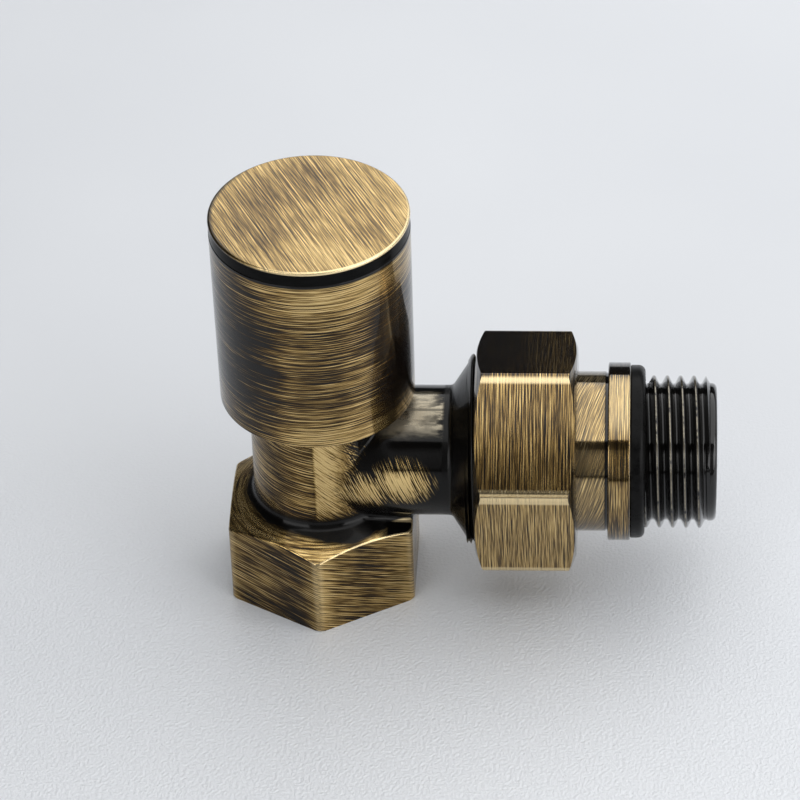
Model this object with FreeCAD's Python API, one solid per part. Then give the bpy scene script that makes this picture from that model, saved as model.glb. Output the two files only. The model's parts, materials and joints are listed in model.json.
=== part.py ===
import FreeCAD, Part
import math
import os
from FreeCAD import Vector

# Manual angle radiator valve. All sizes are in millimetres.
# The origin is the centre of the inlet's mouth, the spindle points up (+Z) and the branch along +X.

# Body forging: inlet hexagon, neck and branch
branch_axis_height = 20.7
neck_radius = 9.4
neck_wall = 2.6
neck_above_branch = 7.5
neck_root_extra = 0.5           # the neck's root is rounded this much more than the crease
branch_setback = 0.5            # the branch is this much slimmer than the neck
branch_wall = 2.6
branch_length = 18.1            # from the spindle axis to the foot of the flare
crease_rounding = 0.8           # where the branch meets the neck and the hexagon
inlet_thread_radius = 9.32      # G1/2 female, at the thread's crests
inlet_wall = 3.33
inlet_mouth_chamfer = 1.1
inlet_corner_rounding = 1.0
inlet_rim_overlap = 1.2         # the hexagon's rim lies this far above the branch's underside
inlet_top_slope = 26.0          # degrees, of the cone on top of the hexagon
inlet_rim_rounding = 0.4
inlet_base_chamfer = 0.35

# Valve seat
seat_floor_drop = 1.0           # the chamber's floor lies this far below the branch's bore
seat_height = 1.0
seat_channel = 0.8
seat_width = 1.0
seat_web = 2.4                  # metal between the inlet thread's end and the chamber's floor

# Union between body and tail
flare_length = 2.6
flare_rounding = 0.8
flare_step = 0.4
thread_runout = 0.7
union_thread_depth = 1.16       # G3/4
union_end_chamfer = 0.8
union_gap = 0.1
nut_length = 13.7
nut_wall = 1.17
nut_shoulder = 2.5
nut_corner_rounding = 1.5
nut_chamfer_slope = 22.0        # degrees
nut_chamfer_rounding = 0.9
nut_face_inset = 0.3
nut_mouth_chamfer = 0.5
nut_corner_angle = 14.0         # degrees from straight up towards the front
nut_clearance = 0.15
thread_clearance = 0.12

# Tail
outlet_thread_radius = 10.4     # G1/2 male, at the thread's crests
outlet_thread_length = 8.15     # at full crests
outlet_thread_depth = 1.0
outlet_lead_length = 0.6
outlet_pilot_length = 0.9
outlet_pilot_rounding = 0.7
gasket_seat_step = 0.4
gasket_width = 2.0
gasket_inset = 0.35
gasket_rounding = 1.0
gasket_clearance = 0.05
tail_step = 0.5
tail_smooth_length = 4.2        # between the nut and the flange
tail_wall = 1.9
tail_groove_width = 0.3
tail_groove_depth = 0.15
tail_flange_width = 3.05
tail_flange_step = 1.25
tail_edge_rounding = 0.25
outlet_wall = 2.5               # metal between the outlet thread's crests and its bore
outlet_bore_lead = 1.3          # the outlet bore starts this far before the thread
outlet_mouth_chamfer = 0.4
key_lug_width = 2.6
key_lug_height = 1.3
key_lug_length = 6.0
key_lug_inset = 1.0             # from the outlet's mouth
spigot_length = 3.6
spigot_step = 1.4
spigot_wall = 2.1
spigot_clearance = 0.15
socket_run = 4.0                # the socket reaches this far past the spigot
spigot_end_chamfer = 0.5
ring_wire_radius = 0.75
ring_stand_off = 0.1
ring_clearance = 0.3
ring_groove_clearance = 0.05
ring_land = 1.15
ring_opening = 14.0             # degrees left open in the wire ring
union_o_ring_groove_depth = 1.15
o_ring_clearance = 0.05

# Headwork
bonnet_step = 0.3
bonnet_clearance = 0.05
bonnet_above_bore = 0.6
bonnet_end_gap = 0.1
bonnet_gasket_thickness = 0.8
bonnet_gasket_inset = 0.3
bonnet_hex_inset = 0.9
bonnet_hex_height = 4.5
bonnet_hex_rounding = 0.4
bonnet_chamfer_slope = 30.0     # degrees
bonnet_boss_height = 3.1
bonnet_edge_chamfer = 0.4
gland_wall = 3.0
gland_drop = 1.1                # the gland's bore starts this far below the neck's top
spindle_radius = 4.0
spindle_clearance = 0.05
spindle_lift = 4.0
spindle_thread_step = 0.8
spindle_thread_clearance = 0.1
spindle_thread_end_gap = 0.2
spindle_flange_clearance = 0.9  # to the chamber's wall
spindle_flange_thickness = 1.4
spindle_stop_gap = 0.1
spindle_nose_radius = 3.6
spindle_square_inset = 0.05
spindle_o_ring_groove_depth = 1.0
spindle_o_ring_start = 1.6
spindle_o_ring_spacing = 2.6
o_ring_side_play = 0.15

# Jumper: the disc that rises off the seat
seat_gap = 0.05
washer_thickness = 2.0
washer_clearance = 0.7
washer_hole_clearance = 0.2
jumper_disc_thickness = 1.4
jumper_boss_radius = 3.0
jumper_boss_height = 1.5
jumper_pin_radius = 1.85
jumper_pin_length = 2.4
jumper_play = 0.1
jumper_pin_end_gap = 0.3
jumper_clip_height = 0.9
jumper_clip_thickness = 0.5
jumper_clip_width = 0.6
jumper_clip_depth = 0.25
jumper_clip_opening = 60.0      # degrees left open in the clip
washer_screw_radius = 1.25
washer_screw_length = 3.2
washer_screw_head_radius = 2.8
washer_screw_head_height = 1.5
screw_clearance = 0.05
screw_end_gap = 0.4

# Knob
knob_gap = 1.9                  # between the branch's top and the knob's rim
knob_inner_gap = 0.7
knob_wall = 3.25
knob_draft = 0.15               # the rim is this much slimmer than the top
knob_edge_chamfer = 0.25
knob_web = 10.8
hub_gap = 0.5
hub_length = 1.5
hub_wall = 3.6
hub_clearance = 0.05
counterbore_radius = 4.9
counterbore_depth = 3.2
knob_screw_radius = 1.95
knob_screw_length = 9.0
knob_screw_head_radius = 3.3
knob_screw_head_height = 2.0
knob_screw_washer_radius = 3.6
knob_screw_washer_thickness = 0.6
spindle_top_gap = 0.2
trim_ring_height = 1.7
trim_ring_inset = 0.05
cover_thickness = 0.5
cover_rounding = 0.3
cover_spigot_wall = 0.9
cover_spigot_length = 2.0       # below the trim ring
cover_clearance = 0.05

# Slots of the screw heads
screw_slot_width = 0.8
screw_slot_depth = 0.9

# Sizes that follow from the ones above, around the spindle axis
branch_radius = neck_radius - branch_setback
branch_bore = branch_radius - branch_wall
branch_top = branch_axis_height + branch_radius
neck_root_rounding = crease_rounding + neck_root_extra
inlet_flats = 2 * (inlet_thread_radius + inlet_wall)
inlet_rim = branch_axis_height - branch_radius + inlet_rim_overlap
neck_top = branch_top + neck_above_branch
chamber_radius = neck_radius - neck_wall
chamber_floor = branch_axis_height - branch_bore - seat_floor_drop
inlet_depth = chamber_floor - seat_web
seat_top = chamber_floor + seat_height
seat_radius = chamber_radius - seat_channel
port_radius = seat_radius - seat_width
bonnet_bore = chamber_radius + bonnet_step
bonnet_radius = bonnet_bore - bonnet_clearance
bonnet_bottom = branch_axis_height + branch_bore + bonnet_above_bore
bonnet_seat = neck_top + bonnet_gasket_thickness
bonnet_hex_top = bonnet_seat + bonnet_hex_height
bonnet_top = bonnet_hex_top + bonnet_boss_height
bonnet_flats = 2 * (neck_radius - bonnet_hex_inset)
gland_bore = spindle_radius + spindle_clearance
gland_bottom = neck_top - gland_drop
spindle_thread_radius = spindle_radius + spindle_thread_step
spindle_thread_top = gland_bottom - spindle_lift - spindle_thread_end_gap
spindle_flange_top = bonnet_bottom - spindle_lift - spindle_stop_gap
spindle_flange_bottom = spindle_flange_top - spindle_flange_thickness
washer_bottom = seat_top + seat_gap
washer_radius = chamber_radius - washer_clearance
disc_bottom = washer_bottom + washer_thickness
disc_top = disc_bottom + jumper_disc_thickness
jumper_boss_top = disc_top + jumper_boss_height
jumper_pin_top = jumper_boss_top + jumper_pin_length
spindle_bottom = jumper_boss_top + jumper_play
jumper_clip_bottom = spindle_bottom + jumper_clip_height
knob_bottom = branch_top + knob_gap
knob_bore = neck_radius + knob_inner_gap
knob_radius = knob_bore + knob_wall
hub_bottom = bonnet_top + hub_gap
knob_ceiling = hub_bottom + hub_length
knob_top = knob_ceiling + knob_web
counterbore_floor = knob_top - counterbore_depth
spindle_top = counterbore_floor - spindle_top_gap
square_side = math.sqrt(2) * (spindle_radius - spindle_square_inset)
hub_radius = spindle_radius + hub_wall
cover_bottom = knob_top + trim_ring_height
cover_top = cover_bottom + cover_thickness
cover_spigot_radius = counterbore_radius - cover_clearance

# Sizes that follow, along the branch axis
tail_radius = outlet_thread_radius + tail_step
tail_bore = tail_radius - tail_wall
outlet_bore = outlet_thread_radius - outlet_wall
tail_flange_radius = tail_radius + tail_flange_step
nut_bore = tail_radius + nut_clearance
ring_radius = tail_radius + ring_stand_off
union_thread_radius = ring_radius + ring_wire_radius + ring_clearance + union_thread_depth
nut_thread_bore = union_thread_radius + thread_clearance
nut_flats = 2 * (nut_thread_bore + nut_wall)
spigot_radius = tail_radius - spigot_step
spigot_bore = spigot_radius - spigot_wall
socket_radius = spigot_radius + spigot_clearance
flare_end = branch_length + flare_length
nut_start = flare_end + thread_runout
nut_end = nut_start + nut_length
nut_shoulder_start = nut_end - nut_shoulder
ring_place = nut_shoulder_start - ring_wire_radius - o_ring_clearance
tail_start = ring_place - ring_land
body_end = tail_start - union_gap
spigot_start = tail_start - spigot_length
socket_start = spigot_start - socket_run
flange_start = nut_end + tail_smooth_length
flange_end = flange_start + tail_flange_width
thread_start = flange_end + gasket_width
outlet_bore_start = thread_start - outlet_bore_lead
thread_end = thread_start + outlet_thread_length
pilot_start = thread_end + outlet_lead_length
tail_end = pilot_start + outlet_pilot_length
pilot_radius = outlet_thread_radius - outlet_thread_depth

up = Vector(0, 0, 1)
along = Vector(1, 0, 0)
branch_origin = Vector(0, 0, branch_axis_height)


def face_from(corners, place):
    """Flat face through (u, v, rounding) corners; a rounding makes an arc tangent to both sides."""
    points = [Vector(u, v, 0) for u, v, rounding in corners]
    edges = []
    stretches = []
    for index, (u, v, rounding) in enumerate(corners):
        corner = points[index]
        to_last = (points[index - 1] - corner).normalize()
        to_next = (points[(index + 1) % len(points)] - corner).normalize()
        if not rounding:
            stretches.append((corner, corner))
            continue
        half_angle = to_last.getAngle(to_next) / 2
        reach = rounding / math.tan(half_angle)
        inward = (to_last + to_next).normalize()
        middle = corner + inward * (rounding / math.sin(half_angle) - rounding)
        start = corner + to_last * reach
        finish = corner + to_next * reach
        edges.append(Part.Arc(place(start), place(middle), place(finish)).toShape())
        stretches.append((start, finish))
    for index, (start, finish) in enumerate(stretches):
        next_start = stretches[(index + 1) % len(stretches)][0]
        edges.append(Part.makeLine(place(finish), place(next_start)))
    return Part.Face(Part.Wire(Part.__sortEdges__(edges)))


def turned_up(*corners):
    """Solid turned about the spindle axis from (radius, height, rounding) corners."""
    profile = face_from(corners, lambda p: Vector(p.x, 0, p.y))
    return profile.revolve(Vector(), up, 360)


def turned_along(*corners):
    """Solid turned about the branch axis from (radius, x, rounding) corners."""
    profile = face_from(corners, lambda p: Vector(p.y, 0, branch_axis_height + p.x))
    return profile.revolve(branch_origin, along, 360)


def rod_up(radius, low, high):
    return Part.makeCylinder(radius, high - low, Vector(0, 0, low), up)


def rod_along(radius, start, finish):
    return Part.makeCylinder(radius, finish - start, Vector(start, 0, branch_axis_height), along)


def polygon_corners(sides, across_flats, rounding, first_angle):
    """Corners of a regular polygon, the first one at first_angle degrees."""
    radius = across_flats / 2 / math.cos(math.pi / sides)
    angles = [math.radians(first_angle + 360 * side / sides) for side in range(sides)]
    return [(radius * math.cos(angle), radius * math.sin(angle), rounding) for angle in angles]


def prism_up(corners, low, high):
    profile = face_from(corners, lambda p: Vector(p.x, p.y, low))
    return profile.extrude(up * (high - low))


def prism_along(corners, start, finish):
    profile = face_from(corners, lambda p: Vector(start, p.x, branch_axis_height + p.y))
    return profile.extrude(along * (finish - start))


def rise(run, slope):
    return run * math.tan(math.radians(slope))


def edge_middle(edge):
    return edge.valueAt((edge.FirstParameter + edge.LastParameter) / 2)


def from_branch_axis(point):
    return math.hypot(point.y, point.z - branch_axis_height)


def screw(radius, low, head_bottom, head_top, head_radius, slot_side):
    """Cheese head screw; slot_side is +1 for a slot in the head's top and -1 for one below."""
    if slot_side > 0:
        shank = rod_up(radius, low, head_bottom)
        slot_low = head_top - screw_slot_depth
    else:
        shank = rod_up(radius, head_top, low)
        slot_low = head_bottom
    head = rod_up(head_radius, head_bottom, head_top)
    corner = Vector(-head_radius, -screw_slot_width / 2, slot_low)
    slot = Part.makeBox(2 * head_radius, screw_slot_width, screw_slot_depth, corner)
    return shank.fuse(head).cut(slot).removeSplitter()


def body_outside():
    """Inlet hexagon and neck as one form, crossed by the branch with its flare and union thread."""
    corner_radius = inlet_flats / math.sqrt(3)
    base_radius = corner_radius - inlet_base_chamfer
    rim_at_corner = inlet_rim - rise(corner_radius - inlet_flats / 2, inlet_top_slope)
    root_height = inlet_rim + rise(inlet_flats / 2 - neck_radius, inlet_top_slope)
    upright = turned_up(
        (0, 0, 0),
        (base_radius, 0, 0),
        (corner_radius, inlet_base_chamfer, 0),
        (corner_radius, rim_at_corner, 0),
        (neck_radius, root_height, neck_root_rounding),
        (neck_radius, neck_top, 0),
        (0, neck_top, 0))
    hexagon = polygon_corners(6, inlet_flats, inlet_corner_rounding, 30)
    upright = upright.common(prism_up(hexagon, 0, neck_top))
    rims = []
    for edge in upright.Edges:
        height = edge_middle(edge).z
        if rim_at_corner < height < inlet_rim + inlet_rim_rounding / 10:
            rims.append(edge)
    upright = upright.makeFillet(inlet_rim_rounding, rims)
    flare_radius = union_thread_radius - flare_step
    runout_radius = union_thread_radius - union_thread_depth
    branch = turned_along(
        (0, 0, 0),
        (branch_radius, 0, 0),
        (branch_radius, branch_length, flare_rounding),
        (flare_radius, flare_end, 0),
        (runout_radius, (flare_end + nut_start) / 2, 0),
        (union_thread_radius, nut_start, 0),
        (union_thread_radius, body_end - union_end_chamfer, 0),
        (union_thread_radius - union_end_chamfer, body_end, 0),
        (0, body_end, 0))
    outside = upright.fuse(branch).removeSplitter()
    creases = []
    for edge in outside.Edges:
        middle = edge_middle(edge)
        on_branch = abs(from_branch_axis(middle) - branch_radius) < crease_rounding / 10
        if on_branch and middle.x < branch_length - flare_rounding and edge.Curve.TypeId != "Part::GeomLine":
            creases.append(edge)
    return outside.makeFillet(crease_rounding, creases)


def body_inside():
    """Waterways: inlet thread, port and raised seat, chamber, bonnet thread, branch bore and socket."""
    mouth_radius = inlet_thread_radius + inlet_mouth_chamfer
    upright = turned_up(
        (0, 0, 0),
        (mouth_radius, 0, 0),
        (inlet_thread_radius, inlet_mouth_chamfer, 0),
        (inlet_thread_radius, inlet_depth - rise(inlet_thread_radius - port_radius, inlet_top_slope), 0),
        (port_radius, inlet_depth, 0),
        (port_radius, seat_top, 0),
        (seat_radius, seat_top, 0),
        (seat_radius, chamber_floor, 0),
        (chamber_radius, chamber_floor, 0),
        (chamber_radius, bonnet_bottom - bonnet_end_gap, 0),
        (bonnet_bore, bonnet_bottom - bonnet_end_gap, 0),
        (bonnet_bore, neck_top, 0),
        (0, neck_top, 0))
    bore = rod_along(branch_bore, 0, body_end)
    socket = turned_along(
        (0, socket_start, 0),
        (socket_radius, socket_start, 0),
        (socket_radius, body_end - spigot_end_chamfer, 0),
        (socket_radius + spigot_end_chamfer, body_end, 0),
        (0, body_end, 0))
    seat_ring = rod_up(seat_radius, chamber_floor, seat_top)
    return upright.fuse([bore.cut(seat_ring), socket])


def valve_body():
    return body_outside().cut(body_inside()).removeSplitter()


def bonnet():
    """Headwork insert: threaded plug, spanner hexagon and gland boss round the spindle."""
    plug = rod_up(bonnet_radius, bonnet_bottom, bonnet_seat)
    corner_radius = bonnet_flats / math.sqrt(3)
    boss_radius = gland_bore + gland_wall
    hexagon = prism_up(polygon_corners(6, bonnet_flats, bonnet_hex_rounding, 0), bonnet_seat, bonnet_hex_top)
    crown = turned_up(
        (0, bonnet_seat, 0),
        (corner_radius, bonnet_seat, 0),
        (corner_radius, bonnet_hex_top - rise(corner_radius - bonnet_flats / 2, bonnet_chamfer_slope), 0),
        (bonnet_flats / 2, bonnet_hex_top, 0),
        (0, bonnet_hex_top, 0))
    boss = turned_up(
        (0, bonnet_hex_top, 0),
        (boss_radius, bonnet_hex_top, 0),
        (boss_radius, bonnet_top - bonnet_edge_chamfer, 0),
        (boss_radius - bonnet_edge_chamfer, bonnet_top, 0),
        (0, bonnet_top, 0))
    thread = rod_up(spindle_thread_radius + spindle_thread_clearance, bonnet_bottom, gland_bottom)
    gland = rod_up(gland_bore, gland_bottom, bonnet_top)
    return plug.fuse([hexagon.common(crown), boss]).cut(thread).cut(gland).removeSplitter()


def bonnet_gasket():
    outer = rod_up(neck_radius - bonnet_gasket_inset, neck_top, bonnet_seat)
    return outer.cut(rod_up(bonnet_bore, neck_top, bonnet_seat))


def spindle_o_ring_places():
    lower = gland_bottom + spindle_o_ring_start
    return lower, lower + spindle_o_ring_spacing


def spindle_o_ring_radius():
    return (spindle_clearance + spindle_o_ring_groove_depth) / 2 - o_ring_clearance


def spindle_o_ring(height):
    return Part.makeTorus(gland_bore - o_ring_clearance - spindle_o_ring_radius(), spindle_o_ring_radius(),
                          Vector(0, 0, height), up)


def spindle():
    """Rising screw: nose for the jumper, stop flange, thread, gland shank and a square for the knob."""
    flange_radius = chamber_radius - spindle_flange_clearance
    stem = turned_up(
        (0, spindle_bottom, 0),
        (spindle_nose_radius, spindle_bottom, 0),
        (spindle_nose_radius, spindle_flange_bottom, 0),
        (flange_radius, spindle_flange_bottom, 0),
        (flange_radius, spindle_flange_top, 0),
        (spindle_thread_radius, spindle_flange_top, 0),
        (spindle_thread_radius, spindle_thread_top, 0),
        (spindle_radius, spindle_thread_top, 0),
        (spindle_radius, hub_bottom, 0),
        (0, hub_bottom, 0))
    square = prism_up(polygon_corners(4, square_side, 0, 45), hub_bottom, spindle_top)
    stem = stem.fuse(square)
    groove_radius = spindle_radius - spindle_o_ring_groove_depth
    groove_half = spindle_o_ring_radius() + o_ring_side_play
    for height in spindle_o_ring_places():
        groove = rod_up(spindle_thread_radius, height - groove_half, height + groove_half)
        stem = stem.cut(groove.cut(rod_up(groove_radius, height - groove_half, height + groove_half)))
    pin_hole = rod_up(jumper_pin_radius + jumper_play, spindle_bottom, jumper_pin_top + jumper_pin_end_gap)
    clip_groove = rod_up(jumper_clip_outer() + o_ring_clearance, jumper_clip_bottom - o_ring_clearance,
                         jumper_clip_bottom + jumper_clip_thickness + o_ring_clearance)
    screw_hole = rod_up(knob_screw_radius + screw_clearance, knob_screw_bottom() - screw_end_gap, spindle_top)
    return stem.cut(pin_hole).cut(clip_groove).cut(screw_hole).removeSplitter()


def jumper_clip_outer():
    return jumper_pin_radius - jumper_clip_depth + jumper_play + jumper_clip_width


def knob_screw_bottom():
    return counterbore_floor + knob_screw_washer_thickness - knob_screw_length


def jumper_clip():
    """Open ring in the spindle's nose that holds the groove of the jumper's pin."""
    clip_top = jumper_clip_bottom + jumper_clip_thickness
    inner = jumper_pin_radius - jumper_clip_depth + jumper_play
    ring = rod_up(jumper_clip_outer(), jumper_clip_bottom, clip_top)
    ring = ring.cut(rod_up(inner, jumper_clip_bottom, clip_top))
    reach = Vector(2 * jumper_clip_outer(), 0, 0)
    base = Vector(0, 0, jumper_clip_bottom)
    half = jumper_clip_opening / 2
    sides = [base + FreeCAD.Rotation(up, turn).multVec(reach) for turn in (-half, half)]
    opening = Part.Face(Part.makePolygon([base, sides[0], sides[1], base]))
    return ring.cut(opening.extrude(up * jumper_clip_thickness))


def jumper():
    """Disc holder with a boss and a grooved pin that turns freely in the spindle's nose."""
    groove_bottom = jumper_clip_bottom - jumper_play
    groove_top = jumper_clip_bottom + jumper_clip_thickness + jumper_play
    groove_radius = jumper_pin_radius - jumper_clip_depth
    holder = turned_up(
        (0, disc_bottom, 0),
        (washer_radius, disc_bottom, 0),
        (washer_radius, disc_top, 0),
        (jumper_boss_radius, disc_top, 0),
        (jumper_boss_radius, jumper_boss_top, 0),
        (jumper_pin_radius, jumper_boss_top, 0),
        (jumper_pin_radius, groove_bottom, 0),
        (groove_radius, groove_bottom, 0),
        (groove_radius, groove_top, 0),
        (jumper_pin_radius, groove_top, 0),
        (jumper_pin_radius, jumper_pin_top, 0),
        (0, jumper_pin_top, 0))
    hole_top = washer_bottom + washer_screw_length + screw_end_gap
    return holder.cut(rod_up(washer_screw_radius + screw_clearance, disc_bottom, hole_top))


def seat_washer():
    ring = rod_up(washer_radius, washer_bottom, disc_bottom)
    return ring.cut(rod_up(washer_screw_radius + washer_hole_clearance, washer_bottom, disc_bottom))


def washer_screw():
    head_bottom = washer_bottom - washer_screw_head_height
    shank_top = washer_bottom + washer_screw_length
    return screw(washer_screw_radius, shank_top, head_bottom, washer_bottom, washer_screw_head_radius, -1)


def knob():
    """Turned cup over the headwork, with a hub on the spindle's square and a counterbore for the screw."""
    cup = turned_up(
        (0, knob_ceiling, 0),
        (knob_bore, knob_ceiling, 0),
        (knob_bore, knob_bottom + knob_edge_chamfer, 0),
        (knob_bore + knob_edge_chamfer, knob_bottom, 0),
        (knob_radius - knob_draft - knob_edge_chamfer, knob_bottom, 0),
        (knob_radius - knob_draft, knob_bottom + knob_edge_chamfer, 0),
        (knob_radius, knob_top, 0),
        (0, knob_top, 0))
    hub = rod_up(hub_radius, hub_bottom, knob_ceiling)
    socket_side = square_side + 2 * hub_clearance
    socket = prism_up(polygon_corners(4, socket_side, 0, 45), hub_bottom, counterbore_floor)
    counterbore = rod_up(counterbore_radius, counterbore_floor, knob_top)
    return cup.fuse(hub).cut(socket).cut(counterbore).removeSplitter()


def knob_screw_washer():
    top = counterbore_floor + knob_screw_washer_thickness
    ring = rod_up(knob_screw_washer_radius, counterbore_floor, top)
    return ring.cut(rod_up(knob_screw_radius + screw_clearance, counterbore_floor, top))


def knob_screw():
    head_bottom = counterbore_floor + knob_screw_washer_thickness
    head_top = head_bottom + knob_screw_head_height
    return screw(knob_screw_radius, knob_screw_bottom(), head_bottom, head_top, knob_screw_head_radius, 1)


def knob_trim_ring():
    ring = rod_up(knob_radius - trim_ring_inset, knob_top, cover_bottom)
    return ring.cut(rod_up(counterbore_radius, knob_top, cover_bottom))


def knob_cover():
    """Thin disc with a rounded rim and a spigot that clips into the knob's counterbore."""
    spigot_inner = cover_spigot_radius - cover_spigot_wall
    spigot_bottom = knob_top - cover_spigot_length
    return turned_up(
        (0, cover_bottom, 0),
        (spigot_inner, cover_bottom, 0),
        (spigot_inner, spigot_bottom, 0),
        (cover_spigot_radius, spigot_bottom, 0),
        (cover_spigot_radius, cover_bottom, 0),
        (knob_radius, cover_bottom, 0),
        (knob_radius, cover_top, cover_rounding),
        (0, cover_top, 0))


def union_nut():
    """Hexagon nut, chamfered at both ends, with a thread bore and a shoulder behind the wire ring."""
    corner_radius = nut_flats / math.sqrt(3)
    face_radius = nut_flats / 2 - nut_face_inset
    chamfer_length = rise(corner_radius - face_radius, nut_chamfer_slope)
    hexagon = polygon_corners(6, nut_flats, nut_corner_rounding, 90 + nut_corner_angle)
    limits = turned_along(
        (0, nut_start, 0),
        (face_radius, nut_start, 0),
        (corner_radius, nut_start + chamfer_length, nut_chamfer_rounding),
        (corner_radius, nut_end - chamfer_length, nut_chamfer_rounding),
        (face_radius, nut_end, 0),
        (0, nut_end, 0))
    bore = turned_along(
        (0, nut_start, 0),
        (nut_thread_bore + nut_mouth_chamfer, nut_start, 0),
        (nut_thread_bore, nut_start + nut_mouth_chamfer, 0),
        (nut_thread_bore, nut_shoulder_start, 0),
        (nut_bore, nut_shoulder_start, 0),
        (nut_bore, nut_end, 0),
        (0, nut_end, 0))
    return prism_along(hexagon, nut_start, nut_end).common(limits).cut(bore).removeSplitter()


def union_groove_radius():
    return spigot_radius - union_o_ring_groove_depth


def union_o_ring_radius():
    return (socket_radius - union_groove_radius()) / 2 - o_ring_clearance


def union_o_ring_place():
    return spigot_start + spigot_length / 2


def tailpiece():
    """Sealing spigot, smooth sleeve, flange, gasket seat, outlet thread and two lugs for a key."""
    seat_radius_of_gasket = outlet_thread_radius - gasket_seat_step
    groove_start = flange_start - tail_groove_width
    outside = turned_along(
        (0, spigot_start, 0),
        (spigot_radius - spigot_end_chamfer, spigot_start, 0),
        (spigot_radius, spigot_start + spigot_end_chamfer, 0),
        (spigot_radius, tail_start, 0),
        (tail_radius, tail_start, 0),
        (tail_radius, groove_start, 0),
        (tail_radius - tail_groove_depth, groove_start, 0),
        (tail_radius - tail_groove_depth, flange_start, 0),
        (tail_flange_radius, flange_start, tail_edge_rounding),
        (tail_flange_radius, flange_end, tail_edge_rounding),
        (seat_radius_of_gasket, flange_end, 0),
        (seat_radius_of_gasket, thread_start, 0),
        (outlet_thread_radius, thread_start, 0),
        (outlet_thread_radius, thread_end, 0),
        (pilot_radius, pilot_start, 0),
        (pilot_radius, tail_end, outlet_pilot_rounding),
        (0, tail_end, 0))
    ring_groove = Part.makeTorus(ring_radius, ring_wire_radius + ring_groove_clearance,
                                 Vector(ring_place, 0, branch_axis_height), along)
    groove_half = union_o_ring_radius() + o_ring_side_play
    groove_low = union_o_ring_place() - groove_half
    groove_high = union_o_ring_place() + groove_half
    seal_groove = rod_along(tail_radius, groove_low, groove_high)
    seal_groove = seal_groove.cut(rod_along(union_groove_radius(), groove_low, groove_high))
    outlet = rod_along(outlet_bore, outlet_bore_start, tail_end)
    lug_start = tail_end - key_lug_inset - key_lug_length
    lug_offset = outlet_bore - key_lug_height
    upper_corner = Vector(lug_start, -key_lug_width / 2, branch_axis_height + lug_offset)
    lower_corner = Vector(lug_start, -key_lug_width / 2, branch_axis_height - lug_offset - outlet_bore)
    for corner in (upper_corner, lower_corner):
        outlet = outlet.cut(Part.makeBox(key_lug_length, key_lug_width, outlet_bore, corner))
    mouth = turned_along(
        (0, tail_end - outlet_mouth_chamfer, 0),
        (outlet_bore, tail_end - outlet_mouth_chamfer, 0),
        (outlet_bore + outlet_mouth_chamfer, tail_end, 0),
        (0, tail_end, 0))
    inside = rod_along(spigot_bore, spigot_start, tail_start)
    inside = inside.fuse([rod_along(tail_bore, tail_start, outlet_bore_start), outlet, mouth])
    return outside.cut(ring_groove).cut(seal_groove).cut(inside).removeSplitter()


def retaining_ring():
    """Open wire ring in the tail's groove; the nut's shoulder pulls on it."""
    ring = Part.makeTorus(ring_radius, ring_wire_radius, Vector(ring_place, 0, branch_axis_height), along)
    base = Vector(ring_place - ring_wire_radius, 0, branch_axis_height)
    reach = Vector(0, 0, -2 * ring_radius)
    half = ring_opening / 2
    sides = [base + FreeCAD.Rotation(along, turn).multVec(reach) for turn in (-half, half)]
    opening = Part.Face(Part.makePolygon([base, sides[0], sides[1], base]))
    return ring.cut(opening.extrude(along * 2 * ring_wire_radius))


def union_o_ring():
    centre_radius = socket_radius - o_ring_clearance - union_o_ring_radius()
    centre = Vector(union_o_ring_place(), 0, branch_axis_height)
    return Part.makeTorus(centre_radius, union_o_ring_radius(), centre, along)


def tail_gasket():
    inner = outlet_thread_radius - gasket_seat_step + gasket_clearance
    outer = tail_flange_radius - gasket_inset
    return turned_along(
        (inner, flange_end, 0),
        (outer, flange_end, 0),
        (outer, thread_start, gasket_rounding),
        (inner, thread_start, 0))


lower_ring, upper_ring = spindle_o_ring_places()
nodes = {
    "valve_body": valve_body(),
    "bonnet": bonnet(),
    "bonnet_gasket": bonnet_gasket(),
    "spindle": spindle(),
    "spindle_o_ring_lower": spindle_o_ring(lower_ring),
    "spindle_o_ring_upper": spindle_o_ring(upper_ring),
    "jumper": jumper(),
    "jumper_clip": jumper_clip(),
    "seat_washer": seat_washer(),
    "washer_screw": washer_screw(),
    "knob": knob(),
    "knob_screw_washer": knob_screw_washer(),
    "knob_screw": knob_screw(),
    "knob_trim_ring": knob_trim_ring(),
    "knob_cover": knob_cover(),
    "union_nut": union_nut(),
    "tailpiece": tailpiece(),
    "retaining_ring": retaining_ring(),
    "union_o_ring": union_o_ring(),
    "tail_gasket": tail_gasket(),
}

os.makedirs("parts", exist_ok=True)
for name, shape in nodes.items():
    shape.exportStep("parts/" + name + ".step")
    print(name, "volume", round(shape.Volume, 1), "mm3, solids", len(shape.Solids), "valid", shape.isValid())
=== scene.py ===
import bmesh
import bpy
import json
import math
from mathutils import Matrix, Vector


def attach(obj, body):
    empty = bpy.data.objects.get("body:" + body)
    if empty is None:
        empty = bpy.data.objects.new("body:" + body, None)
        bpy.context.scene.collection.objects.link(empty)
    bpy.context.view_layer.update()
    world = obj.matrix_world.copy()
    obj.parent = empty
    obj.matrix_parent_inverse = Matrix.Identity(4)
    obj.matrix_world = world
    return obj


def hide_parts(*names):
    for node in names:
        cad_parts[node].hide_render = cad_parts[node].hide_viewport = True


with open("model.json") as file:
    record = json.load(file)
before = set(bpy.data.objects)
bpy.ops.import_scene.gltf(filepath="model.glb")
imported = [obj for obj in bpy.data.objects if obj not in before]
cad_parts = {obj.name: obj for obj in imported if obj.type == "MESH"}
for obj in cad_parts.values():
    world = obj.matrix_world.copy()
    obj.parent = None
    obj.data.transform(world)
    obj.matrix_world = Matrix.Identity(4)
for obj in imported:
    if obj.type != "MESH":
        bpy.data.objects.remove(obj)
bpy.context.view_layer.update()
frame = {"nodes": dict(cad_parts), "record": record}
mm = 0.001
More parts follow.
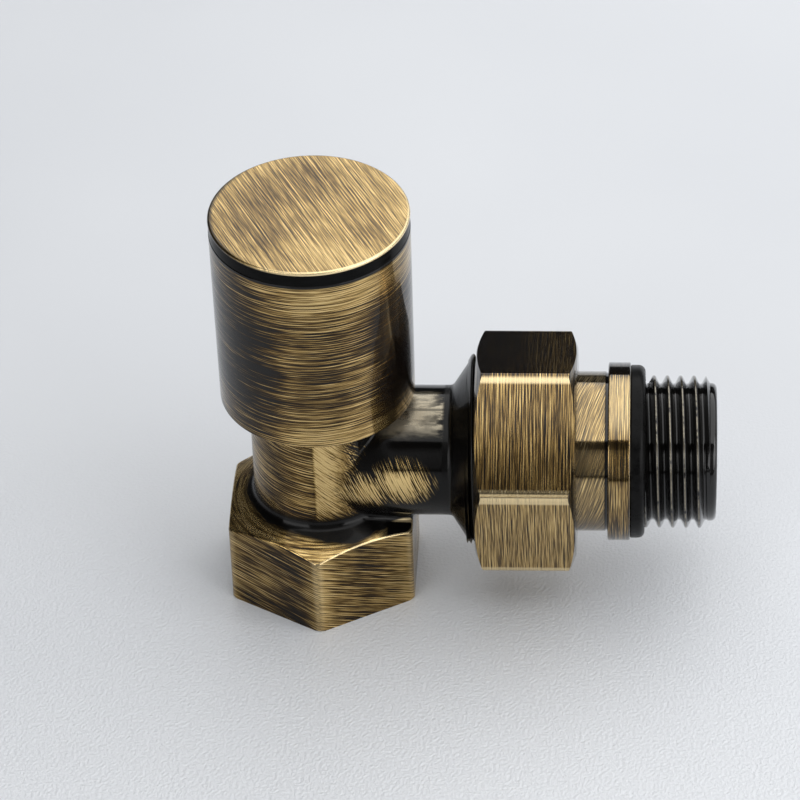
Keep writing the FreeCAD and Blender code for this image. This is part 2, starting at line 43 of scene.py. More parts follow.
branchAxis = 20.7  # height of the branch axis above the base, in mm
branchHeight = branchAxis * mm
noiseRange = (0.3, 0.7)  # where most values of a noise lie
sharpAngle = math.radians(32)  # edges that turn more than this stay sharp


# shader building blocks
def startFinish(name):
    finish = bpy.data.materials.new(name)
    finish.use_nodes = True
    tree = finish.node_tree
    tree.nodes.clear()
    out = tree.nodes.new("ShaderNodeOutputMaterial")
    shader = tree.nodes.new("ShaderNodeBsdfPrincipled")
    tree.links.new(shader.outputs[0], out.inputs[0])
    return finish, tree, shader


def node(tree, kind, inputs=None, **settings):
    made = tree.nodes.new("ShaderNode" + kind)
    for key, value in settings.items():
        setattr(made, key, value)
    for key, value in (inputs or {}).items():
        if isinstance(value, bpy.types.NodeSocket):
            tree.links.new(value, made.inputs[key])
        else:
            made.inputs[key].default_value = value
    return made


def calc(tree, operation, *values):
    return node(tree, "Math", dict(enumerate(values)), operation=operation).outputs[0]


def both(tree, first, *others):  # where all these zones lie over each other
    for other in others:
        first = calc(tree, "MULTIPLY", first, other)
    return first


def either(tree, first, *others):  # where any of these zones lies
    for other in others:
        first = calc(tree, "MAXIMUM", first, other)
    return first


def outside(tree, zone):
    return calc(tree, "SUBTRACT", 1.0, zone)


def more(tree, base, zone, amount):  # base, raised by an amount where the zone lies
    return calc(tree, "MULTIPLY_ADD", zone, amount, base)


def centred(tree, value):  # noise moved to lie about zero
    return calc(tree, "SUBTRACT", value, 0.5)


def ease(tree, value, limits):  # 0 at the first limit, 1 at the second, smooth between
    inputs = {0: value, 1: limits[0], 2: limits[1]}
    return node(tree, "MapRange", inputs, interpolation_type="SMOOTHSTEP").outputs[0]


def swing(tree, value, low, high):  # a noise turned into values from low to high
    inputs = {0: value, 1: noiseRange[0], 2: noiseRange[1], 3: low, 4: high}
    return node(tree, "MapRange", inputs).outputs[0]


def noise(tree, place, scale, detail, rough):
    inputs = {"Vector": place, "Scale": scale, "Detail": detail, "Roughness": rough}
    return node(tree, "TexNoise", inputs).outputs[0]


def tint(tree, amount, first, second):
    mix = node(tree, "Mix", {0: amount, 6: first, 7: second}, data_type="RGBA")
    return mix.outputs[2]


def blend(tree, amount, first, second):
    return node(tree, "Mix", {0: amount, 2: first, 3: second}).outputs[0]


def objectPlace(tree):
    return node(tree, "TexCoord").outputs["Object"]


def facing(tree):  # which way the surface looks
    return parts(tree, node(tree, "TexCoord").outputs["Normal"])


def millimetres(tree):
    return node(tree, "VectorMath", {0: objectPlace(tree), 3: 1000.0}, operation="SCALE").outputs[0]


def toward(tree, place, direction):  # how far along a direction
    return node(tree, "VectorMath", {0: place, 1: direction}, operation="DOT_PRODUCT").outputs["Value"]


def spot(tree, place, oval):  # 1 in the middle of an oval zone, 0 at its edge
    scale = [1 / reach for reach in oval["reach"]]
    shift = [-middle / reach for middle, reach in zip(oval["centre"], oval["reach"])]
    scaled = node(tree, "Mapping", {"Vector": place, "Location": shift, "Scale": scale}).outputs[0]
    away = node(tree, "VectorMath", {0: scaled}, operation="LENGTH").outputs["Value"]
    return ease(tree, away, (1.0, 0.0))


def parts(tree, place):
    return node(tree, "SeparateXYZ", {0: place}).outputs


def farFrom(tree, first, second):  # distance from the line where both are zero
    squares = calc(tree, "ADD", calc(tree, "POWER", first, 2.0), calc(tree, "POWER", second, 2.0))
    return calc(tree, "SQRT", squares)


def aboveBranch(tree, z):
    return calc(tree, "SUBTRACT", z, branchAxis)


def branchTilt(tree, y, z):  # angle about the branch axis, 0 in front and a quarter turn on top
    return calc(tree, "ARCTAN2", aboveBranch(tree, z), calc(tree, "MULTIPLY", y, -1.0))


# antique brass: black patina, brushed through to the metal, under clear lacquer
brassTones = {
    "stops": (0.28, 0.38, 0.50, 0.62, 0.78),
    "colours": ((0.003, 0.002, 0.0015, 1), (0.040, 0.023, 0.008, 1), (0.175, 0.108, 0.036, 1),
                (0.430, 0.290, 0.105, 1), (0.740, 0.540, 0.240, 1)),
    "black": (0.002, 0.0018, 0.0016, 1),
    # pale metal for worn edges and for painted highlights
    "worn": (0.880, 0.700, 0.400, 1),
    # paler mirror-like metal for painted sheen bands and crests
    "pale": (0.340, 0.300, 0.225, 1),
    "bareMetal": (0.24, 0.36), "blackMetal": (1.0, 0.75), "roughSwing": 0.03, "specular": 0.15,
    "lineBump": 0.08, "lineDepth": 0.01, "waveSize": 2.6, "waveDepth": 0.1, "coatRough": 0.06,
}
bristles = {  # layers are the width, length and weight of each set of lines
    "layers": ((1.5, 0.9, 0.62), (1.3, 0.25, 0.22), (3.2, 1.6, 0.16)),
    "detail": 1.0, "rough": 0.55,
    "edgeStep": 0.13, "edgeAmount": 0.45,  # how hard the edges of the lines are
}


def drawnNoise(tree, place, brush):  # noise drawn out along the brush's path, place in mm
    total = 0.0
    for wide, long, weight in bristles["layers"]:
        scale = [1.0 / (brush["length"] * long)] * 3
        scale[brush["across"]] = 1.0 / (brush["width"] * wide)
        stretched = node(tree, "Mapping", {"Vector": place, "Scale": scale}).outputs[0]
        total = more(tree, total, noise(tree, stretched, 1.0, bristles["detail"], bristles["rough"]), weight)
    return total


def brushLines(tree, place, brush):
    turn = [math.radians(angle) for angle in brush["turn"]]
    turned = node(tree, "Mapping", {"Vector": place, "Rotation": turn}).outputs[0]
    step = [0.0, 0.0, 0.0]
    step[brush["across"]] = bristles["edgeStep"]
    beside = node(tree, "VectorMath", {0: turned, 1: step}).outputs[0]
    lines = drawnNoise(tree, turned, brush)
    edges = calc(tree, "SUBTRACT", lines, drawnNoise(tree, beside, brush))
    return more(tree, lines, edges, bristles["edgeAmount"])


def brassFinish(name, brush, marks):
    finish, tree, shader = startFinish(name)
    place = millimetres(tree)
    streak = brushLines(tree, place, brush)
    patch = noise(tree, place, 1.0 / brush["patchSize"], 2.0, 0.5)
    found = marks(tree, place, streak)
    streak = found.get("streak", streak)
    level = more(tree, 0.5 + brush["gold"], centred(tree, streak), brush["contrast"])
    level = more(tree, level, centred(tree, patch), brush["patchAmount"])
    level = calc(tree, "ADD", level, found["lift"])  # more or less brushed through, plus painted shade and painted highlight where a piece's marks ask for them
    ramp = node(tree, "ValToRGB", {0: level})
    while len(ramp.color_ramp.elements) < len(brassTones["stops"]):
        ramp.color_ramp.elements.new(0.5)
    for element, stop, colour in zip(ramp.color_ramp.elements, brassTones["stops"], brassTones["colours"]):
        element.position = stop
        element.color = colour
    metal = ease(tree, level, brassTones["bareMetal"])  # metal shows where the patina is brushed off
    colour = tint(tree, found["dark"], ramp.outputs[0], brassTones["black"])
    metal = both(tree, metal, ease(tree, found["dark"], brassTones["blackMetal"]))
    if "worn" in found:
        colour = tint(tree, found["worn"], colour, brassTones["worn"])
        metal = either(tree, metal, found["worn"])
    if "pale" in found:  # pale mirror-like metal on chosen bands and crests: partly painted sheen
        colour = tint(tree, found["pale"], colour, brassTones["pale"])
        metal = either(tree, metal, found["pale"])
    if "matte" in found:  # brown skin that is not all metal
        metal = both(tree, metal, outside(tree, found["matte"]))
    tree.links.new(metal, shader.inputs["Metallic"])
    tree.links.new(colour, shader.inputs["Base Color"])
    change = brassTones["roughSwing"]
    rough = swing(tree, streak, brush["rough"] + change, brush["rough"] - change)
    tree.links.new(rough, shader.inputs["Roughness"])
    spread = found.get("spread", brush["spread"])
    tree.links.new(node(tree, "CombineXYZ", dict(enumerate(spread))).outputs[0], shader.inputs["Tangent"])
    lineDepth = brassTones["lineDepth"] * mm
    lineHeight = {"Strength": brassTones["lineBump"], "Distance": lineDepth, "Height": streak}
    tree.links.new(node(tree, "Bump", lineHeight).outputs[0], shader.inputs["Normal"])
    waves = noise(tree, place, 1.0 / brassTones["waveSize"], 2.0, 0.5)  # lacquer that isn't quite even
    waveHeight = {"Strength": brush["waves"], "Distance": brassTones["waveDepth"] * mm, "Height": waves}
    tree.links.new(node(tree, "Bump", waveHeight).outputs[0], shader.inputs["Coat Normal"])
    shader.inputs["Specular IOR Level"].default_value = brassTones["specular"]
    shader.inputs["Anisotropic"].default_value = 1.0
    shader.inputs["Coat Weight"].default_value = brush["lacquer"]
    shader.inputs["Coat Roughness"].default_value = brassTones["coatRough"]
    shader.inputs["Coat IOR"].default_value = brush["coat"]
    return finish


def plainFinish(name, look):  # rubber, plastic and inner pieces: a base tone with fine lines or grain
    finish, tree, shader = startFinish(name)
    stretched = node(tree, "Mapping", {"Vector": objectPlace(tree), "Scale": look["lines"]}).outputs[0]
    grain = noise(tree, stretched, 1.0, 3.0, 0.6)
    colour = tint(tree, ease(tree, grain, noiseRange), look["low"], look["high"])
    tree.links.new(colour, shader.inputs["Base Color"])
    rough = swing(tree, grain, look["rough"] - 0.06, look["rough"] + 0.06)
    tree.links.new(rough, shader.inputs["Roughness"])
    bump = node(tree, "Bump", {"Strength": 0.3, "Distance": look["depth"] * mm, "Height": grain})
    tree.links.new(bump.outputs[0], shader.inputs["Normal"])
    shader.inputs["Metallic"].default_value = look["metal"]
    shader.inputs["Specular IOR Level"].default_value = look["specular"]
    return finish


# mesh building blocks
def turnedPiece(corners, alongBranch, steps):  # corners are radius, place on the axis, rounding, all in mm
    bm = bmesh.new()
    verts = []
    for radius, along, rounding in corners:
        corner = (along, 0, branchAxis + radius) if alongBranch else (radius, 0, along)
        verts.append(bm.verts.new(Vector(corner) * mm))
    for index, vert in enumerate(verts):
        bm.edges.new((vert, verts[(index + 1) % len(verts)]))
    for vert, (radius, along, rounding) in zip(verts, corners):
        if rounding:
            bmesh.ops.bevel(bm, geom=[vert], offset=rounding * mm, offset_type="OFFSET", affect="VERTICES",
                            segments=5, profile=0.5, material=-1)
    axis, centre = ((1, 0, 0), (0, 0, branchHeight)) if alongBranch else ((0, 0, 1), (0, 0, 0))
    bmesh.ops.spin(bm, geom=bm.verts[:] + bm.edges[:], cent=centre, axis=axis, angle=math.tau, steps=steps,
                   use_merge=True)
    bmesh.ops.remove_doubles(bm, verts=bm.verts, dist=0.0005 * mm)
    bmesh.ops.recalc_face_normals(bm, faces=bm.faces)
    return bm


def threadShell(thread, limit):  # a screw surface about the branch axis, cut square at both ends
    bm = bmesh.new()
    flank = math.tan(math.radians(27.5))  # half the angle of a pipe thread
    flat = (thread["pitch"] - 2 * (thread["crest"] - thread["root"]) * flank) / 2
    half = thread["pitch"] / 2
    start = thread["start"] - 2 * thread["pitch"]
    turns = math.ceil((thread["end"] - start) / thread["pitch"]) + 2
    first = thread["crestPlace"] - half
    first -= math.ceil((first - start) / thread["pitch"]) * thread["pitch"]
    profile = [(0, thread["root"]), (flat / 2, thread["root"]), (half - flat / 2, thread["crest"]),
               (half + flat / 2, thread["crest"]), (thread["pitch"] - flat / 2, thread["root"]),
               (thread["pitch"], thread["root"])]
    verts = [bm.verts.new(Vector((first + along, 0, branchAxis + radius)) * mm) for along, radius in profile]
    for low, high in zip(verts, verts[1:]):
        bm.edges.new((low, high))
    bmesh.ops.bevel(bm, geom=verts[1:-1], offset=thread["rounding"] * mm, offset_type="OFFSET",
                    affect="VERTICES", segments=3, profile=0.5, material=-1)
    steps = 96
    bmesh.ops.spin(bm, geom=bm.verts[:] + bm.edges[:], cent=(0, 0, branchHeight), axis=(1, 0, 0),
                   dvec=(thread["pitch"] * mm / steps, 0, 0), angle=math.tau * turns, steps=steps * turns)
    bmesh.ops.remove_doubles(bm, verts=bm.verts, dist=0.002 * mm)
    for place, outward in ((thread["start"], -1), (thread["end"], 1)):
        bmesh.ops.bisect_plane(bm, geom=bm.verts[:] + bm.edges[:] + bm.faces[:], dist=1e-7,
                               plane_co=(place * mm, 0, 0), plane_no=(outward, 0, 0), clear_outer=True)
    for vert in bm.verts:
        arm = branchArm(vert)
        most = limit(vert.co.x / mm) * mm
        if arm.length > most:
            setArm(vert, arm * (most / arm.length))
    return bm


def branchArm(vert):  # from the branch axis straight out to a vertex
    return Vector((0, vert.co.y, vert.co.z - branchHeight))


def setArm(vert, arm):
    vert.co = (vert.co.x, arm.y, branchHeight + arm.z)


def closeInside(bm, radius):  # both open ends drawn inward, then joined by a tube
    ends = [edge for edge in bm.edges if edge.is_boundary]
    made = bmesh.ops.extrude_edge_only(bm, edges=ends)["geom"]
    for vert in made:
        if isinstance(vert, bmesh.types.BMVert):
            setArm(vert, branchArm(vert).normalized() * radius * mm)
    bmesh.ops.bridge_loops(bm, edges=[edge for edge in bm.edges if edge.is_boundary])
    bmesh.ops.recalc_face_normals(bm, faces=bm.faces)


def addTo(bm, other):  # put another bmesh into this one
    extra = bpy.data.meshes.new("extra")
    other.to_mesh(extra)
    other.free()
    bm.from_mesh(extra)
    bpy.data.meshes.remove(extra)


def cadCopy(nodeName):  # a welded copy of a CAD node
    source = frame["nodes"][nodeName].data.copy()
    if "custom_normal" in source.attributes:
        source.attributes.remove(source.attributes["custom_normal"])
    bm = bmesh.new()
    bm.from_mesh(source)
    bpy.data.meshes.remove(source)
    bmesh.ops.remove_doubles(bm, verts=bm.verts, dist=0.002 * mm)
    bmesh.ops.dissolve_degenerate(bm, edges=bm.edges, dist=0.001 * mm)
    return bm


def placePiece(bm, name, body, finish, replaced):
    for face in bm.faces:
        face.smooth = True
    for edge in bm.edges:
        edge.smooth = len(edge.link_faces) == 2 and edge.calc_face_angle(0) < sharpAngle
    mesh = bpy.data.meshes.new(name)
    bm.to_mesh(mesh)
    bm.free()
    piece = bpy.data.objects.new(name, mesh)
    bpy.context.scene.collection.objects.link(piece)
    mesh.materials.append(finish)
    evenShade = piece.modifiers.new("evenShade", "WEIGHTED_NORMAL")
    evenShade.keep_sharp = True
    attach(piece, body)
    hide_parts(*replaced)
    print("piece", name, len(mesh.polygons), "faces")


# camera, as the photo was taken
viewpoint = {"turn": 4.17, "rise": 38.299, "roll": -2.17, "distance": 569.195, "lens": 188.868,
             "sensor": 36, "target": (11.098, 0.0, 29.314)}


def setCamera(view):
    turn, rise, roll = (math.radians(view[key]) for key in ("turn", "rise", "roll"))
    back = Vector((math.sin(turn) * math.cos(rise), -math.cos(turn) * math.cos(rise), math.sin(rise)))
    right = Vector((math.cos(turn), math.sin(turn), 0))
    up = back.cross(right)
    across = right * math.cos(roll) + up * math.sin(roll)
    upward = up * math.cos(roll) - right * math.sin(roll)
    data = bpy.data.cameras.new("camera")
    data.sensor_width = view["sensor"]
    data.lens = view["lens"]
    data.clip_start = 0.01
    camera = bpy.data.objects.new("camera", data)
    bpy.context.scene.collection.objects.link(camera)
    place = Matrix((across, upward, back)).transposed().to_4x4()
    place.translation = (Vector(view["target"]) + back * view["distance"]) * mm
    camera.matrix_world = place
    bpy.context.scene.camera = camera


setCamera(viewpoint)
print("camera set")

# light: a wide softbox overhead, panels to the right and left, a dim one in front, dark room
studio = {
    "softbox": {"size": (1.8, 1.76), "place": (0.64, 0.43, 0.62), "turn": (0, 0, 0), "power": 17.0},
    "sidePanel": {"size": (1.5, 0.9), "place": (1.40, -0.85, 0.55), "turn": (78, 0, 59), "power": 13.5},
    "leftPanel": {"size": (1.2, 0.9), "place": (-1.0, -1.25, 0.55), "turn": (78, 0, -39), "power": 8.5},
    "frontPanel": {"size": (1.6, 1.2), "place": (-0.1, -1.5, 0.7), "turn": (90, 0, 0), "power": 0.85},
}
roomColour = (0.025, 0.0255, 0.027, 1)


def addLamp(name, lamp):
    data = bpy.data.lights.new(name, "AREA")
    data.shape = "RECTANGLE"
    data.size, data.size_y = lamp["size"]
    data.energy = lamp["power"]
    panel = bpy.data.objects.new(name, data)
    panel.location = lamp["place"]
    panel.rotation_euler = [math.radians(angle) for angle in lamp["turn"]]
    bpy.context.scene.collection.objects.link(panel)


def setRoom(colour):
    world = bpy.data.worlds.new("room")
    world.use_nodes = True
    world.node_tree.nodes["Background"].inputs[0].default_value = colour
    bpy.context.scene.world = world
    bpy.context.scene.view_settings.view_transform = "Standard"


for lampName, lamp in studio.items():
    addLamp(lampName, lamp)
setRoom(roomColour)

# pale floor with a fine leathery grain, painted lighter towards the front
floorLook = {
    "size": 4.0, "colour": (0.665, 0.685, 0.715, 1), "shade": (0.640, 0.660, 0.692, 1),
    "front": (0.785, 0.805, 0.835, 1), "pit": (0.20, 0.21, 0.22, 1), "pitRange": (0.6, 0.4), "pitShade": 0.05,
    "grain": 0.45, "depth": 0.2, "cloud": 70.0, "rough": 0.45,
    "grainFade": (60.0, -50.0), "frontFade": (0.0, -110.0),
}


def makeFloor(look):
    bm = bmesh.new()
    bmesh.ops.create_grid(bm, x_segments=1, y_segments=1, size=look["size"])
    mesh = bpy.data.meshes.new("floor")
    bm.to_mesh(mesh)
    bm.free()
    floor = bpy.data.objects.new("floor", mesh)
    bpy.context.scene.collection.objects.link(floor)
    finish, tree, shader = startFinish("floorSheet")
    place = millimetres(tree)
    depth = parts(tree, place)[1]
    grain = noise(tree, place, 1.0 / look["grain"], 2.0, 0.55)
    fade = ease(tree, depth, look["grainFade"])  # smooth towards the back
    pits = both(tree, ease(tree, grain, look["pitRange"]), both(tree, fade, look["pitShade"]))
    cloud = noise(tree, place, 1.0 / look["cloud"], 2.0, 0.5)
    sheet = tint(tree, ease(tree, cloud, noiseRange), look["shade"], look["colour"])
    # painted light: the floor's colour lighter towards the front
    sheet = tint(tree, ease(tree, depth, look["frontFade"]), sheet, look["front"])
    tree.links.new(tint(tree, pits, sheet, look["pit"]), shader.inputs["Base Color"])
    height = {"Strength": 1.0, "Distance": look["depth"] * mm, "Height": both(tree, grain, fade)}
    tree.links.new(node(tree, "Bump", height).outputs[0], shader.inputs["Normal"])
    shader.inputs["Roughness"].default_value = look["rough"]
    mesh.materials.append(finish)


makeFloor(floorLook)
print("light and floor set")

# knob: brushed sleeve, black ring, brushed top disc; zones are limits in mm, or from -1 to 1 across the knob
knobSleeve = {
    "corners": ((13.35, 58.3, 0.12), (13.2, 31.5, 0.22), (10.1, 31.5, 0.25), (10.1, 47.5, 0.3),
                (7.6, 47.5, 0.2), (7.6, 46.0, 0.2), (4.05, 46.0, 0.1), (4.05, 55.1, 0.1), (4.9, 55.1, 0.1),
                (4.9, 58.3, 0.1)),
    "brush": {"turn": (0, 0, 0), "across": 2, "length": 9.0, "width": 0.1, "patchSize": 8.0,
              "patchAmount": 0.36, "contrast": 1.35, "gold": -0.05, "rough": 0.21, "spread": (0, 0, 1),
              "waves": 0.02, "coat": 1.28, "lacquer": 0.6},
    "zones": {"top": (49.0, 56.5), "foot": (40.0, 33.0), "left": (-0.15, -0.7), "right": (0.5, 0.72),
              "belowTop": (55.5, 51.0), "aboveFoot": (32.5, 36.0), "seat": (57.8, 57.95)},
    "lifts": {"all": -0.05, "ends": 0.17, "left": -0.2, "right": -0.2},
}
knobDisc = {
    "corners": ((0, 60.5, 0), (13.35, 60.5, 0.3), (13.35, 60.0, 0.08), (4.85, 60.0, 0.05), (4.85, 56.3, 0.1),
                (3.95, 56.3, 0.1), (3.95, 60.0, 0.1), (0, 60.0, 0)),
    "brush": {"turn": (0, 0, -27), "across": 0, "length": 8.0, "width": 0.1, "patchSize": 7.0,
              "patchAmount": 0.22, "contrast": 0.8, "gold": 0.04, "rough": 0.24, "spread": (0.891, 0.454, 0),
              "waves": 0.01, "coat": 1.4, "lacquer": 0.6},
    "zones": {"rim": (12.95, 13.2), "rimSide": (-0.75, 0.1), "outer": (9.0, 13.0), "band": (12.5, 13.1),
              "bandSide": (-0.5, -0.9), "under": (60.2, 60.08)},
    "glow": {"centre": (1.5, -7.5, 60.5), "reach": (9.0, 7.0, 9.0)},
    "lifts": {"glow": 0.12, "right": 0.03, "outer": 0.06},
    "bandShade": 0.9,
}
knobRing = {
    "corners": ((13.3, 58.3, 0.1), (13.3, 60.0, 0.1), (4.9, 60.0, 0.1), (4.9, 58.3, 0.1)),
    "look": {"lines": (400, 400, 1800), "low": (0.002, 0.002, 0.002, 1), "high": (0.004, 0.004, 0.004, 1),
             "rough": 0.2, "depth": 0.004, "metal": 0.0, "specular": 0.05},
}
imageRight = (0.0748, 0.0054, 0)  # gives -1 at the knob's left side and 1 at its right, seen as in the photo


def sleeveMarks(tree, place, streak):
    zones, lifts = knobSleeve["zones"], knobSleeve["lifts"]
    z = parts(tree, place)[2]
    side = toward(tree, place, imageRight)
    ends = either(tree, ease(tree, z, zones["top"]), ease(tree, z, zones["foot"]))
    middle = both(tree, ease(tree, z, zones["belowTop"]), ease(tree, z, zones["aboveFoot"]))
    lift = more(tree, lifts["all"], ends, lifts["ends"])
    # painted shade: the sleeve darker on its left side
    lift = more(tree, lift, ease(tree, side, zones["left"]), lifts["left"])
    # painted reflection: the middle of the sleeve darker on its right, where the nut and branch would be
    # mirrored
    lift = more(tree, lift, both(tree, ease(tree, side, zones["right"]), middle), lifts["right"])
    # painted shadow: a dark line along the sleeve's top edge, in the gap under the black ring
    return {"lift": lift, "dark": ease(tree, z, zones["seat"])}


def discMarks(tree, place, streak):
    zones, lifts = knobDisc["zones"], knobDisc["lifts"]
    x, y, z = parts(tree, place)
    away = farFrom(tree, x, y)
    side = toward(tree, place, imageRight)
    # painted sheen: a soft brighter spot on the front of the disc
    lift = both(tree, spot(tree, place, knobDisc["glow"]), lifts["glow"])
    # painted light: the disc a little brighter towards its right side
    lift = more(tree, lift, side, lifts["right"])
    lift = more(tree, lift, ease(tree, away, zones["outer"]), lifts["outer"])
    # painted highlight: pale metal on the right part of the disc's rim
    worn = both(tree, ease(tree, away, zones["rim"]), ease(tree, side, zones["rimSide"]))
    # painted shade: the left part of the disc's outer edge darker
    band = both(tree, ease(tree, away, zones["band"]), ease(tree, side, zones["bandSide"]))
    # painted shadow on the disc's lower edge, joined with the darker left edge
    dark = either(tree, both(tree, band, knobDisc["bandShade"]), ease(tree, z, zones["under"]))
    return {"worn": worn, "lift": lift, "dark": dark}


placePiece(turnedPiece(knobSleeve["corners"], False, 192), "knobSleeve", "handle",
           brassFinish("sleeveBrass", knobSleeve["brush"], sleeveMarks), ["knob"])
placePiece(turnedPiece(knobDisc["corners"], False, 192), "knobDisc", "handle",
           brassFinish("discBrass", knobDisc["brush"], discMarks), ["knob_cover"])
placePiece(turnedPiece(knobRing["corners"], False, 160), "knobRing", "handle",
           plainFinish("ringBlack", knobRing["look"]), ["knob_trim_ring"])

# valve body: the forged form, with its union thread cut as a screw
bodyForm = {
    "thread": {"pitch": 1.8143, "crest": 13.21, "root": 12.06, "rounding": 0.16, "crestPlace": 20.97,
               "start": 20.2, "end": 30.4, "inside": 11.6},
    "lead": {"radius": 12.75, "slope": 0.7, "endRadius": 12.4, "endPlace": 30.55},
    "room": {"start": 20.75, "outside": 11.5, "radius": 11.9},
    "brush": {"turn": (0, -10, 0), "across": 2, "length": 8.0, "width": 0.1, "patchSize": 6.0,
              "patchAmount": 0.32, "contrast": 1.4, "gold": -0.05, "rough": 0.21, "spread": (0, 0, 1),
              "waves": 0.16, "coat": 1.3, "lacquer": 0.25},
    "rightFace": {"turn": (0, -28, 0), "across": 2, "length": 8.0, "width": 0.1},
    "neckScratches": {"turn": (0, -45, 0), "across": 2, "length": 4.0, "width": 0.1},
    "branchScratches": {"turn": (0, -67, 0), "across": 2, "length": 4.5, "width": 0.09},
    "topRings": {"turn": (0, 0, 0), "across": 0, "length": 7.0, "width": 0.28, "radius": 12.0},
    "wobble": {"scale": 0.3, "amount": 2.4, "shift": -1.2, "lines": 9.0, "root": 0.5},
    "skin": {"stretch": (0.35, 0.9, 0.9), "wander": 0.25},
}
bodyZones = {  # limits in mm, of how far a surface faces up, or in radians about the branch
    "hexagon": (17.5, 16.5), "hexLines": (15.5, 14.5), "rightFace": (-0.1, 0.1), "leftFace": (0.5, -0.5),
    "upward": (0.4, 0.7), "topLines": (0.3, 0.6), "sideWall": (0.6, 0.3), "topEdge": (12.9, 13.3),
    "rightTop": (7.5, 9.5), "nearCorner": (13.2, 14.3), "corner": (14.15, 14.6), "cornerHeight": (13.2, 12.6),
    "rimLow": (0.1, 0.3), "rimHigh": (0.85, 0.7), "rimHeight": (13.5, 13.2), "rimRight": (-1.5, 0.5),
    "root": (11.3, 10.2), "rootHeight": (16.4, 15.4), "rootRight": (-5.0, 6.0),
    "neckLines": (-0.6, 0.2), "neckLeft": (-0.4, 0.1), "neckEnd": (5.0, 3.4), "neckFoot": (15.0, 18.0),
    "neckFade": (0.5, 4.0), "branchLines": (3.0, 5.0), "black": (3.4, 5.2), "blackRadius": (12.4, 10.6),
    "flare": (14.8, 15.6), "bare": (0.15, 0.85), "bareReach": (0.02, 0.2),
    "branchStart": (7.5, 11.0), "branchEnd": (17.3, 16.8), "seam": (0.035, 0.012),
    "paleFront": (0.78, 1.16), "paleBack": (1.78, 1.66), "paleSkin": (0.1, 0.6), "blots": (0.6, 0.42),
    "blotStart": (15.0, 17.0),
}
bodySpots = {  # places in mm that are brushed bare
    "branch": {"centre": (11.4, -8.7, 21.7), "reach": (6.0, 4.5, 4.8)},
    "crossing": {"centre": (6.6, -8.8, 20.2), "reach": (4.6, 3.5, 4.0)},
    "core": {"centre": (11.2, -8.7, 22.0), "reach": (3.0, 3.5, 2.7)},
}
bodyAmounts = {
    "bareLines": 2.8, "bare": 0.25, "core": 0.35, "neck": 0.3, "neckFade": -0.16, "hexTop": 0.18,
    "rightFace": 0.01, "leftFace": -0.09, "nearCorner": 0.12, "cornerWorn": 0.25, "rimWorn": 0.55,
    "cornerTaper": 0.014, "rootRight": -1.6, "seamPlace": 1.33, "seamShade": -0.5,
}


